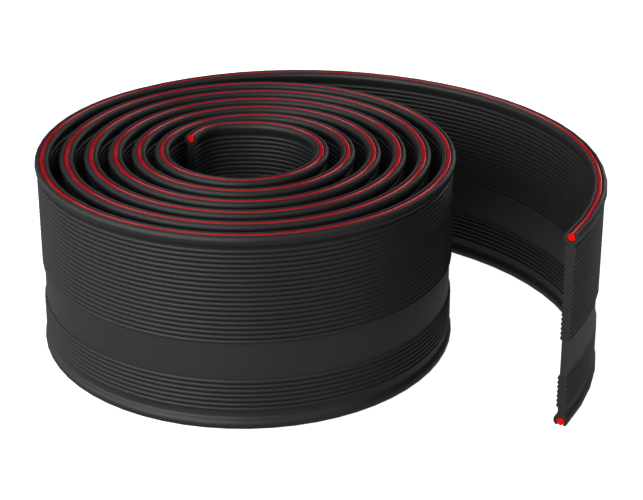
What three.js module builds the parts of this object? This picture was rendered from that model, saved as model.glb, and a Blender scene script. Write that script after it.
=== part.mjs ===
import * as THREE from 'three';

// Coil of a joint sealing band with a swelling cord along each edge.
// Millimetres, +Z up, the coil stands on the band's lower edge.

// Band section
const bandWidth = 150;
const webThickness = 5.2;
const ribHeight = 1.6;
const ribPitch = 3.63;
const lowerRibs = 7;
const upperRibs = 20;
const lowerRibMargin = 12;
const upperRibMargin = 11.4;

// Edge beads and their cords
const cordDiameter = 5.2;
const cordClearance = 0.3;
const cordSides = 8;
const beadWall = 2.6;
const mouthWidth = 4.6;
const lipFlatWidth = 1.4;

// Wound turns, measured to the middle of the band
const boreRadius = 49.6;
const turnPitch = 18.71;
const woundAngle = 2184;
const innerEndBearing = 151;
const depthRatio = 1.08;
const innerShiftX = 4.3;
const innerShiftY = 1.7;
const innerBulge = 4.9;
const bulgeBearing = 27.5;
const bulgeSpread = 23.5;

// Free tail, which leaves the last turn and opens out
const tailReach = 116.1;
const tailEndBearing = -36.5;
const tailEndHeading = -119;
const tailDeparture = 229;
const tailArrival = 280.5;

// Steps along the band
const woundSteps = 126;
const tailSteps = 13;

const octagonHalfAngle = Math.PI / cordSides;
const grooveRadius = cordDiameter / 2 + cordClearance / Math.cos(octagonHalfAngle);
const beadRadius = grooveRadius + beadWall;
const lipRadius = beadWall / 2;
const lipOffset = mouthWidth / 2 + lipRadius;
const lipCentreDrop = Math.sqrt((grooveRadius + lipRadius) ** 2 - lipOffset ** 2);
const beadHeight = lipCentreDrop + lipRadius;
const webHalf = webThickness / 2;
const ribFieldHalf = webHalf + ribHeight / 2;
const beadCorner = beadRadius * Math.tan(octagonHalfAngle);

// One half of a bead, from the groove's root round the lip to the web.
// x is the distance from the band's middle plane, y the height above the bead's axis.
function beadOutline() {
  const points = [];
  for (const turn of [1, 3, 5]) {
    const angle = turn * octagonHalfAngle;
    points.push([grooveRadius * Math.sin(angle), grooveRadius * Math.cos(angle)]);
  }
  points.push([mouthWidth / 2, -lipCentreDrop]);
  points.push([lipOffset - lipFlatWidth / 2, -beadHeight]);
  points.push([lipOffset + lipFlatWidth / 2, -beadHeight]);
  points.push([beadRadius, -beadCorner]);
  points.push([beadRadius, beadCorner]);
  points.push([ribFieldHalf, beadCorner + beadRadius - ribFieldHalf]);
  return points;
}

// Half section from the lower groove's root to the upper groove's root.
// The ribs are carried as raised fields of half their height on both faces.
function halfSection() {
  const bead = beadOutline();
  const lowerFieldTop = lowerRibMargin + lowerRibs * ribPitch;
  const upperFieldFoot = bandWidth - upperRibMargin - upperRibs * ribPitch;
  const ramp = ribHeight / 2;
  const lower = bead.map(([x, y]) => [x, beadHeight + y]);
  const upper = bead.map(([x, y]) => [x, bandWidth - beadHeight - y]).reverse();
  const field = [
    [ribFieldHalf, lowerFieldTop - ramp],
    [webHalf, lowerFieldTop],
    [webHalf, upperFieldFoot],
    [ribFieldHalf, upperFieldFoot + ramp],
  ];
  return [...lower, ...field, ...upper];
}

// The shape's x runs down the band and its y across it, towards the left of travel.
function bandShape() {
  const half = halfSection();
  const right = half.map(([x, z]) => new THREE.Vector2(-z, -x));
  const left = half.map(([x, z]) => new THREE.Vector2(-z, x)).reverse();
  return new THREE.Shape([...right, ...left]);
}

function cordShape(height) {
  const points = [];
  for (let i = 0; i < cordSides; i += 1) {
    const angle = (2 * i + 1) * octagonHalfAngle;
    const x = (cordDiameter / 2) * Math.cos(angle);
    const y = (cordDiameter / 2) * Math.sin(angle);
    points.push(new THREE.Vector2(x - height, y));
  }
  return new THREE.Shape(points);
}

// Plan of the band: a spiral wound clockwise seen from above, then the tail.
class BandPath extends THREE.Curve {
  constructor() {
    super();
    this.outerRadius = boreRadius + (turnPitch * woundAngle) / 360;
    this.joinAt = woundSteps / (woundSteps + tailSteps);
    this.tail = this.makeTail();
  }

  // Point of the spiral, wound being the angle from the inner end in degrees.
  // The coil is a little deeper than wide, and its inner turns sit off its middle.
  woundPoint(wound) {
    const bearing = THREE.MathUtils.degToRad(innerEndBearing - wound);
    const bulge = innerBulge * Math.exp(-(((wound - bulgeBearing) / bulgeSpread) ** 2));
    const radius = boreRadius + (turnPitch * wound) / 360 + bulge;
    const shift = (1 - wound / woundAngle) ** 3;
    const x = radius * Math.cos(bearing) - innerShiftX * shift;
    const y = depthRatio * radius * Math.sin(bearing) + innerShiftY * shift;
    return new THREE.Vector3(x, y, 0);
  }

  makeTail() {
    const start = this.woundPoint(woundAngle);
    const before = this.woundPoint(woundAngle - 0.5);
    const along = start.clone().sub(before).normalize();
    const bearing = THREE.MathUtils.degToRad(tailEndBearing);
    const heading = THREE.MathUtils.degToRad(tailEndHeading);
    const reach = this.outerRadius + tailReach;
    const end = new THREE.Vector3(reach * Math.cos(bearing), reach * Math.sin(bearing), 0);
    const arriving = new THREE.Vector3(Math.cos(heading), Math.sin(heading), 0);
    const leave = start.clone().addScaledVector(along, tailDeparture);
    const arrive = end.clone().addScaledVector(arriving, -tailArrival);
    return new THREE.CubicBezierCurve3(start, leave, arrive, end);
  }

  // Steps grow with the radius, so every facet bows by the same amount.
  getPoint(t, target = new THREE.Vector3()) {
    if (t >= this.joinAt) {
      return target.copy(this.tail.getPoint((t - this.joinAt) / (1 - this.joinAt)));
    }
    const inner = boreRadius ** 1.5;
    const outer = this.outerRadius ** 1.5;
    const radius = (inner + ((outer - inner) * t) / this.joinAt) ** (2 / 3);
    return target.copy(this.woundPoint(((radius - boreRadius) / turnPitch) * 360));
  }

  getUtoTmapping(u) {
    return u;
  }
}

const path = new BandPath();

function sweep(name, shape, material) {
  const settings = { steps: woundSteps + tailSteps, extrudePath: path };
  const mesh = new THREE.Mesh(new THREE.ExtrudeGeometry(shape, settings), material);
  mesh.name = name;
  return mesh;
}

const pvc = new THREE.MeshStandardMaterial({ color: 0x2b2a2c, roughness: 0.42, metalness: 0 });
const cordRubber = new THREE.MeshStandardMaterial({ color: 0xb8102a, roughness: 0.5, metalness: 0 });

const coil = new THREE.Group();
coil.add(sweep('waterstop_band', bandShape(), pvc));
coil.add(sweep('lower_swelling_cord', cordShape(beadHeight), cordRubber));
coil.add(sweep('upper_swelling_cord', cordShape(bandWidth - beadHeight), cordRubber));

// The origin is on the floor, under the middle of the coil and its tail.
const extent = new THREE.Box3().setFromObject(coil);
coil.position.set(-(extent.min.x + extent.max.x) / 2, -(extent.min.y + extent.max.y) / 2, -extent.min.z);

const waterstop = new THREE.Group();
waterstop.add(coil);

export default waterstop;
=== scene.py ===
import math
import bpy
import numpy as np
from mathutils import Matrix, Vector


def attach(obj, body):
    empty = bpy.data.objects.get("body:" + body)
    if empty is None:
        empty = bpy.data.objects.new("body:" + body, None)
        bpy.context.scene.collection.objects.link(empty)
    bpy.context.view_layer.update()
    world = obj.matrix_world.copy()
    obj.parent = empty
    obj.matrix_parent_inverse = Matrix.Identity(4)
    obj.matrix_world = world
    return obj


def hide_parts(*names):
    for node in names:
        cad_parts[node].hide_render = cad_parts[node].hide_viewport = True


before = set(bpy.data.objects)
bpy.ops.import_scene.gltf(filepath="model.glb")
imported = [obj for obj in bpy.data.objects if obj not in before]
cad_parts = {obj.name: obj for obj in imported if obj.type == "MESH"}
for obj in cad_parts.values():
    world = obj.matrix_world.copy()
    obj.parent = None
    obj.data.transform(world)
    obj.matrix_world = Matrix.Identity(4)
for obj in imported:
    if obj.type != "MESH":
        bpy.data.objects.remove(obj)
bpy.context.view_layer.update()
mm = 0.001
print("frame loaded")


# Plan of the coil, in millimetres and degrees, wound clockwise seen from above
coil = {
    "middle": (-49.608, -11.099),
    "boreRadius": 49.6,
    "turnPitch": 18.71,
    "woundAngle": 2184.0,
    "innerEndBearing": 151.0,
    "depthRatio": 1.08,
    "innerShift": (4.3, 1.7),
    "innerBulge": 4.9,
    "bulgeBearing": 27.5,
    "bulgeSpread": 23.5,
    "steps": 306,
    "stepGrading": 1.5,  # steps grow outwards, so that every facet bows by the same amount
    "leavingLook": 0.5,  # how far back the direction of the last turn is taken
}

# Free tail, which leaves the last turn and opens out
tail = {
    "reach": 116.1,
    "endBearing": -36.5,
    "endHeading": -119.0,
    "departure": 229.0,
    "arrival": 280.5,
    "steps": 27,
}

# Section of the band, in millimetres
section = {
    "width": 150.0,
    "web": 5.2,
    "ribHeight": 1.6,
    "ribPitch": 3.63,
    "ribSides": 4,  # straight lines in the round of one rib
    "lowerRibs": 7,
    "upperRibs": 20,
    "lowerMargin": 14.0,
    "upperMargin": 10.05,
    "grooveRadius": 2.925,
    "groovePoints": 6,
    "beadRadius": 5.525,
    "beadPoints": 5,
    "mouth": 4.0,
    "lipRadius": 1.1,
    "lipPoints": 6,
    "taperPoints": 4,  # on the wall between the lip and the bead's side
    "neckRadius": 2.4,
    "neckPoints": 3,
}

# Swelling cord in each groove, in millimetres
cord = {
    "radius": 2.65,
    "lift": 0.3,  # out of the groove's middle, until it bears on the lips
    "bulge": 0.25,  # share by which it swells out through the mouth
    "sides": 24,
}


def woundPoint(wound):
    bearing = np.radians(coil["innerEndBearing"] - wound)
    bulge = coil["innerBulge"] * np.exp(-((wound - coil["bulgeBearing"]) / coil["bulgeSpread"]) ** 2)
    radius = coil["boreRadius"] + coil["turnPitch"] * wound / 360 + bulge
    shift = (1 - wound / coil["woundAngle"]) ** 3
    x = radius * np.cos(bearing) - coil["innerShift"][0] * shift + coil["middle"][0]
    y = coil["depthRatio"] * radius * np.sin(bearing) + coil["innerShift"][1] * shift + coil["middle"][1]
    return np.stack([x, y], -1)


def bandPath():
    # points and directions along the band, from the inner end to the free end
    inner, grading = coil["boreRadius"], coil["stepGrading"]
    outer = inner + coil["turnPitch"] * coil["woundAngle"] / 360
    share = np.linspace(0, 1, coil["steps"] + 1)
    radius = (inner ** grading + (outer ** grading - inner ** grading) * share) ** (1 / grading)
    turns = woundPoint((radius - inner) / coil["turnPitch"] * 360)
    start = woundPoint(coil["woundAngle"])
    leaving = start - woundPoint(coil["woundAngle"] - coil["leavingLook"])
    leaving /= np.linalg.norm(leaving)
    bearing, heading = math.radians(tail["endBearing"]), math.radians(tail["endHeading"])
    end = (outer + tail["reach"]) * np.array([math.cos(bearing), math.sin(bearing)]) + coil["middle"]
    arriving = np.array([math.cos(heading), math.sin(heading)])
    near, far = start + leaving * tail["departure"], end - arriving * tail["arrival"]
    t = np.linspace(0, 1, tail["steps"] + 1)[1:, None]
    free = (1 - t) ** 3 * start + 3 * (1 - t) ** 2 * t * near + 3 * (1 - t) * t * t * far + t ** 3 * end
    points = np.vstack([turns, free])
    along = np.gradient(points, axis=0)
    along[-1] = arriving
    along /= np.linalg.norm(along, axis=1)[:, None]
    return points, along


def arc(middle, radius, start, end, count):
    # angles in degrees from straight up, positive away from the middle plane
    angles = [math.radians(a) for a in np.linspace(start, end, count)]
    return [(middle[0] + radius * math.sin(a), middle[1] + radius * math.cos(a)) for a in angles]


def beadOutline():
    # half a bead, from the groove's root round the lip to the neck, with heights over the bead's axis
    groove, outer, lip = section["grooveRadius"], section["beadRadius"], section["lipRadius"]
    neck = section["neckRadius"]
    lipX = section["mouth"] / 2 + lip
    lipDrop = math.sqrt((groove + lip) ** 2 - lipX ** 2)
    inner = math.degrees(math.atan2(lipX, -lipDrop))
    # the wall thins towards the lip, on an arc that touches both the lip and the bead's side
    gap = outer - lipX
    taper = (gap ** 2 + lipDrop ** 2 - lip ** 2) / (2 * (gap - lip))
    shoulder = math.degrees(math.atan2(lipX - outer + taper, -lipDrop))
    # the neck's fillet touches the bead and the web
    neckX = section["web"] / 2 + neck
    neckY = math.sqrt((outer + neck) ** 2 - neckX ** 2)
    touch = math.degrees(math.atan2(neckX, neckY))
    points = arc((0, 0), groove, 0, inner, section["groovePoints"])[:-1]
    points += arc((lipX, -lipDrop), lip, inner - 180, shoulder - 360, section["lipPoints"])[:-1]
    points += arc((outer - taper, 0), taper, shoulder, 90, section["taperPoints"])[:-1]
    points += arc((0, 0), outer, 90, touch, section["beadPoints"])
    points += arc((neckX, neckY), neck, touch + 180, 270, section["neckPoints"])[1:]
    return points, lipDrop + lip


def ribFieldEdges():
    # heights of the top of the lower rib field and of the foot of the upper one
    lowerTop = section["lowerMargin"] + section["lowerRibs"] * section["ribPitch"]
    upperFoot = section["width"] - section["upperMargin"] - section["upperRibs"] * section["ribPitch"]
    return lowerTop, upperFoot


def ribField(foot, count):
    # outline of one field of half-round ribs, upwards, and which of its corners stay sharp
    half, pitch, height = section["web"] / 2, section["ribPitch"], section["ribHeight"]
    radius = (height ** 2 + pitch ** 2 / 4) / (2 * height)
    reach = math.degrees(math.asin(pitch / 2 / radius))
    points = [(half, foot)]
    for rib in range(count):
        middle = (half + height - radius, foot + (rib + 0.5) * pitch)
        points += arc(middle, radius, 90 + reach, 90 - reach, section["ribSides"] + 1)[1:]
    return points, [i % section["ribSides"] == 0 for i in range(len(points))]


def bandSection():
    # the whole outline, which of its corners stay sharp, and how far in from an edge a bead's axis lies
    bead, beadHeight = beadOutline()
    lower = [(x, beadHeight + y) for x, y in bead]
    upper = [(x, section["width"] - beadHeight - y) for x, y in bead][::-1]
    lowRibs, lowSharp = ribField(section["lowerMargin"], section["lowerRibs"])
    highRibs, highSharp = ribField(ribFieldEdges()[1], section["upperRibs"])
    right = lower + lowRibs + highRibs + upper
    left = [(-x, y) for x, y in right[::-1]]
    sharp = [False] * len(lower) + lowSharp + highSharp + [False] * len(upper)
    return right[:-1] + left[:-1], sharp[:-1] + sharp[::-1][:-1], beadHeight


def cordSection(height, mouth):
    # mouth is 1 where the groove opens upwards and -1 where it opens downwards
    points = []
    for x, y in arc((0, 0), cord["radius"], 0, 360 - 360 / cord["sides"], cord["sides"]):
        swell = 1 + cord["bulge"] * (max(0, y) / cord["radius"]) ** 2
        points.append((x * mouth, height + mouth * (y * swell + cord["lift"])))
    return points


def addObject(name, data):
    made = bpy.data.objects.new(name, data)
    bpy.context.scene.collection.objects.link(made)
    return made


def lengthAlong(points):
    # distance from the first point to each point, in metres
    return np.concatenate([[0], np.cumsum(np.hypot(*np.diff(points, axis=0).T))]) * mm


def sweep(name, outline, sharp=None):
    # the outline's first number goes to the left of travel, its second one up
    points, along = bandPath()
    outline = np.array(outline)
    rows, columns = len(points), len(outline)
    left = np.stack([-along[:, 1], along[:, 0]], -1)
    x = points[:, None, 0] + left[:, None, 0] * outline[None, :, 0]
    y = points[:, None, 1] + left[:, None, 1] * outline[None, :, 0]
    z = np.broadcast_to(outline[None, :, 1], x.shape)
    corners = np.stack([x, y, z], -1).reshape(-1, 3) * mm
    i, j = np.divmod(np.arange((rows - 1) * columns), columns)
    k = (j + 1) % columns
    here, ahead = i * columns, (i + 1) * columns
    faces = np.stack([here + j, ahead + j, ahead + k, here + k], -1).tolist()
    faces.append(list(range(columns)))
    faces.append(list(range((rows - 1) * columns, rows * columns))[::-1])
    mesh = bpy.data.meshes.new(name)
    mesh.from_pydata(corners.tolist(), [], faces)
    mesh.polygons.foreach_set("use_smooth", [True] * (len(faces) - 2) + [False] * 2)

    # u runs along the band and v round the section, in metres
    run, girth = lengthAlong(points), lengthAlong(np.vstack([outline, outline[:1]]))
    u = np.stack([run[i], run[i + 1], run[i + 1], run[i]], -1).ravel()
    v = np.stack([girth[j], girth[j], girth[j + 1], girth[j + 1]], -1).ravel()
    uv = np.vstack([np.stack([u, v], -1), outline * mm, outline[::-1] * mm])
    mesh.uv_layers.new(name="length").data.foreach_set("uv", uv.ravel().astype(np.float32))

    # ribs keep their ridges, and the cut ends their rims
    ends = np.zeros(len(mesh.edges) * 2, np.int32)
    mesh.edges.foreach_get("vertices", ends)
    a, b = ends.reshape(-1, 2).T
    sameRow = a // columns == b // columns
    rim = sameRow & ((a // columns == 0) | (a // columns == rows - 1))
    ridge = ~sameRow & np.array(sharp or [False] * columns)[a % columns]
    mesh.attributes.new("sharp_edge", "BOOLEAN", "EDGE").data.foreach_set("value", rim | ridge)
    return addObject(name, mesh)


class Socket:
    def __init__(self, tree, output):
        self.tree, self.output = tree, output

    def math(self, operation, *values):
        node = self.tree.nodes.new("ShaderNodeMath")
        node.operation = operation
        for i, value in enumerate(values):
            if isinstance(value, Socket):
                self.tree.links.new(value.output, node.inputs[i])
            else:
                node.inputs[i].default_value = value
        return Socket(self.tree, node.outputs[0])

    def __add__(self, other):
        return self.math("ADD", self, other)

    __radd__ = __add__

    def __mul__(self, other):
        return self.math("MULTIPLY", self, other)

    __rmul__ = __mul__

    def __sub__(self, other):
        return self.math("SUBTRACT", self, other)

    def __rsub__(self, other):
        return self.math("SUBTRACT", other, self)

    def __gt__(self, other):
        return self.math("GREATER_THAN", self, other)

    def __lt__(self, other):
        return self.math("LESS_THAN", self, other)


class Finish:
    def __init__(self, name):
        self.material = bpy.data.materials.new(name)
        self.material.use_nodes = True
        self.tree = self.material.node_tree
        self.shader = self.tree.nodes["Principled BSDF"]

    def put(self, socket, value):
        if isinstance(value, Socket):
            self.tree.links.new(value.output, socket)
        else:
            socket.default_value = value

    def node(self, kind, settings, inputs, out=0):
        # settings first, then its sockets by name or number
        made = self.tree.nodes.new(kind)
        for key, value in settings.items():
            setattr(made, key, value)
        for key, value in inputs.items():
            self.put(made.inputs[key], value)
        return Socket(self.tree, made.outputs[out])

    def place(self):
        # place on the piece, in metres
        return self.node("ShaderNodeTexCoord", {}, {}, "Object")

    def along(self, stretch):
        # place on the band, u along it and v round its section
        spot = self.node("ShaderNodeUVMap", {"uv_map": "length"}, {})
        return self.node("ShaderNodeMapping", {}, {"Vector": spot, "Scale": stretch})

    def noise(self, place, look):
        return self.node("ShaderNodeTexNoise", {}, {"Vector": place, **look})

    def blend(self, share, first, second):
        # a colour mix has its factor at socket 0, its colours at 6 and 7 and its result at 2
        return self.node("ShaderNodeMix", {"data_type": "RGBA"}, {0: share, 6: first, 7: second}, 2)

    def bump(self, height, look):
        return self.node("ShaderNodeBump", {}, {"Height": height, **look})

    def feed(self, values):
        for key, value in values.items():
            self.put(self.shader.inputs[key], value)


# Black band: drawn lines along it, soft clouds and a fine grain
pvcLook = {
    "colour": (0.0125, 0.0120, 0.0131, 1),
    "pale": (0.0172, 0.0166, 0.0179, 1),
    # painted light: the smooth zone's colour is paler than the rest, standing in for the groove shade
    # that darkens the rib fields
    "smoothZonePaintedLight": (0.0240, 0.0231, 0.0248, 1),
    "roughness": 0.45,
    "drawnSpread": 0.10,  # how much the lines and the clouds change the roughness
    "cloudSpread": 0.08,
    "drawnStretch": (1.2, 260, 1),
    "drawn": {"Scale": 1.0, "Detail": 3.0},
    "cloud": {"Scale": 14.0, "Detail": 4.0},
    "fine": {"Scale": 900.0, "Detail": 2.0},
    "cloudInColour": 0.6,  # the lines have the rest
    "cloudInZone": 0.4,  # share of the smooth zone's colour that the clouds break up
    "drawnInBump": 0.7,  # the grain has the rest
    "bump": {"Strength": 0.12, "Distance": 0.0002},
}


def pvcFinish():
    made = Finish("blackPvc")
    spot = made.place()
    drawn = made.noise(made.along(pvcLook["drawnStretch"]), pvcLook["drawn"])
    cloud = made.noise(spot, pvcLook["cloud"])
    fine = made.noise(spot, pvcLook["fine"])
    uneven = (drawn - 0.5) * pvcLook["drawnSpread"] + (cloud - 0.5) * pvcLook["cloudSpread"]
    # the smooth zone between the two rib fields is painted paler: painted light, standing in for the
    # shade in the ribs' grooves that darkens the rib fields
    height = made.node("ShaderNodeSeparateXYZ", {}, {"Vector": spot}, "Z")
    zoneFoot, zoneHead = ribFieldEdges()
    smooth = (height > zoneFoot * mm) * (height < zoneHead * mm)
    inColour, inZone, inBump = pvcLook["cloudInColour"], pvcLook["cloudInZone"], pvcLook["drawnInBump"]
    plain = made.blend(cloud * inColour + drawn * (1 - inColour), pvcLook["colour"], pvcLook["pale"])
    made.feed({
        "Base Color": made.blend(smooth * (cloud * inZone + (1 - inZone)), plain, pvcLook["smoothZonePaintedLight"]),
        "Roughness": uneven + pvcLook["roughness"],
        "Normal": made.bump(drawn * inBump + fine * (1 - inBump), pvcLook["bump"]),
    })
    return made.material


# Red cord: drawn lines along it
cordLook = {
    "colour": (0.48, 0.001, 0.010, 1),
    "pale": (0.60, 0.002, 0.017, 1),
    "roughness": 0.17,
    "drawnSpread": 0.08,
    "drawnStretch": (3, 500, 1),
    "drawn": {"Scale": 1.0, "Detail": 3.0},
    "bump": {"Strength": 0.1, "Distance": 0.0002},
}


def cordFinish():
    made = Finish("redCord")
    drawn = made.noise(made.along(cordLook["drawnStretch"]), cordLook["drawn"])
    made.feed({
        "Base Color": made.blend(drawn, cordLook["colour"], cordLook["pale"]),
        "Roughness": (drawn - 0.5) * cordLook["drawnSpread"] + cordLook["roughness"],
        "Normal": made.bump(drawn, cordLook["bump"]),
    })
    return made.material


# Cut face of a cord: brighter and dull
cutLook = {
    "colour": (0.95, 0.0, 0.0, 1),
    "dull": (0.85, 0.0, 0.0, 1),
    "roughness": 0.7,
    "gloss": 0.15,
    "grain": {"Scale": 1500.0, "Detail": 2.0},
}


def cutFinish():
    made = Finish("redCordCut")
    grain = made.noise(made.place(), cutLook["grain"])
    made.feed({
        "Base Color": made.blend(grain, cutLook["colour"], cutLook["dull"]),
        "Roughness": cutLook["roughness"],
        "Specular IOR Level": cutLook["gloss"],
    })
    return made.material


outline, sharp, beadHeight = bandSection()
band = sweep("ribbedBand", outline, sharp)
band.data.materials.append(pvcFinish())
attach(band, "root")
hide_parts("waterstop_band")
print("band made,", len(outline), "points in its section,", len(band.data.polygons), "faces")

red, redCut = cordFinish(), cutFinish()
for name, node, height, mouth in (
    ("lowerCord", "lower_swelling_cord", beadHeight, -1),
    ("upperCord", "upper_swelling_cord", section["width"] - beadHeight, 1),
):
    piece = sweep(name, cordSection(height, mouth))
    piece.data.materials.append(red)
    piece.data.materials.append(redCut)
    for polygon in piece.data.polygons[-2:]:  # the two cut faces come last
        polygon.material_index = 1
    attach(piece, "root")
    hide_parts(node)
print("cords made")


# Pale floor, which glows for the camera only, and a little light from all round
stage = {
    "floor": (0.9, 0.9, 0.9, 1),
    "floorRoughness": 0.9,
    "glowColour": (1, 1, 1, 1),
    "glow": 0.95,
    "size": 6.0,
    "air": (1.0, 1.0, 1.0, 1),
    "airLight": 0.04,
}

s = stage["size"]
mesh = bpy.data.meshes.new("studioFloor")
mesh.from_pydata([(-s, -s, 0), (s, -s, 0), (s, s, 0), (-s, s, 0)], [], [(0, 1, 2, 3)])
floor = addObject("studioFloor", mesh)
floor.visible_diffuse = floor.visible_glossy = False
floorFinish = Finish("paleFloor")
floorFinish.feed({
    "Base Color": stage["floor"],
    "Roughness": stage["floorRoughness"],
    "Specular IOR Level": 0.0,
    "Emission Color": stage["glowColour"],
    "Emission Strength": stage["glow"],
})
mesh.materials.append(floorFinish.material)

world = bpy.data.worlds.new("studioAir")
bpy.context.scene.world = world
world.use_nodes = True
world.node_tree.nodes["Background"].inputs["Color"].default_value = stage["air"]
world.node_tree.nodes["Background"].inputs["Strength"].default_value = stage["airLight"]
bpy.context.scene.view_settings.view_transform = "Standard"

# Soft panels round the coil, in metres and watts
lampAim = (-0.03, 0, 0.07)
lamps = {
    "farLeftPanel": {"at": (-2.60, 0.00, 0.43), "size": 1.2, "power": 6.6},
    "leftPanel": {"at": (-2.15, -1.22, 0.96), "size": 2.2, "power": 26},
    "frontLeftPanel": {"at": (-1.25, -2.12, 0.96), "size": 2.2, "power": 31},
    "frontPanel": {"at": (-0.03, -2.44, 0.96), "size": 2.0, "power": 8.5},
    "frontRightPanel": {"at": (1.79, -1.82, 0.43), "size": 1.2, "power": 2.5},
    "rightPanel": {"at": (2.54, 0.00, 0.43), "size": 1.2, "power": 0.8},
    "backLeftPanel": {"at": (-2.26, 1.29, 0.43), "size": 1.2, "power": 3.5},
    "highLeftPanel": {"at": (-1.96, 0.00, 1.81), "size": 1.2, "power": 2.5},
    "highRightPanel": {"at": (1.90, 0.00, 1.81), "size": 1.2, "power": 1.5},
    "highFrontPanel": {"at": (1.34, -1.37, 1.81), "size": 1.2, "power": 4.5},
    "highBackRightPanel": {"at": (1.10, 1.56, 1.81), "size": 1.2, "power": 7},
    "highBackLeftPanel": {"at": (-0.95, 1.40, 2.10), "size": 1.2, "power": 7},
    "topSoftbox": {"at": (-0.03, 0.0, 2.7), "size": 1.8, "power": 4},
    "beadCard": {"at": (-0.85, -0.90, 2.40), "size": 1.2, "power": 3},
    "backRightCard": {"at": (1.40, 2.14, 0.36), "size": 0.7, "power": 3.2},
    "backCard": {"at": (0.60, 2.50, 0.28), "size": 0.7, "power": 1.3},
}
# this one stands for the light that the pale floor throws up
floorBounce = {"at": (0, 0, 0.0002), "size": 4.0, "power": 12}


def addLamp(name, lamp):
    light = bpy.data.lights.new(name, "AREA")
    light.size, light.energy = lamp["size"], lamp["power"]
    holder = addObject(name, light)
    holder.location = lamp["at"]
    return holder


for name, lamp in lamps.items():
    ray = Vector(lampAim) - Vector(lamp["at"])
    addLamp(name, lamp).rotation_euler = ray.to_track_quat("-Z", "Y").to_euler()
holder = addLamp("floorBounce", floorBounce)
holder.rotation_euler = (math.pi, 0, 0)  # a lamp shines down until it is turned over
holder.visible_camera = False

view = {
    "at": (3.839, -1299.139, 631.317),  # millimetres
    "pitch": 23.762,  # degrees down from level
    "focalPixels": 1787.476,
    "widthPixels": 643,
    "sensor": 36.0,
    "farthest": 50,  # metres
}
camera = addObject("photoCamera", bpy.data.cameras.new("photoCamera"))
camera.data.sensor_width = view["sensor"]
camera.data.lens = view["sensor"] * view["focalPixels"] / view["widthPixels"]
camera.location = Vector(view["at"]) * mm
camera.rotation_euler = (math.radians(90 - view["pitch"]), 0, 0)
camera.data.clip_end = view["farthest"]
bpy.context.scene.camera = camera
print("stage, lights and camera made")
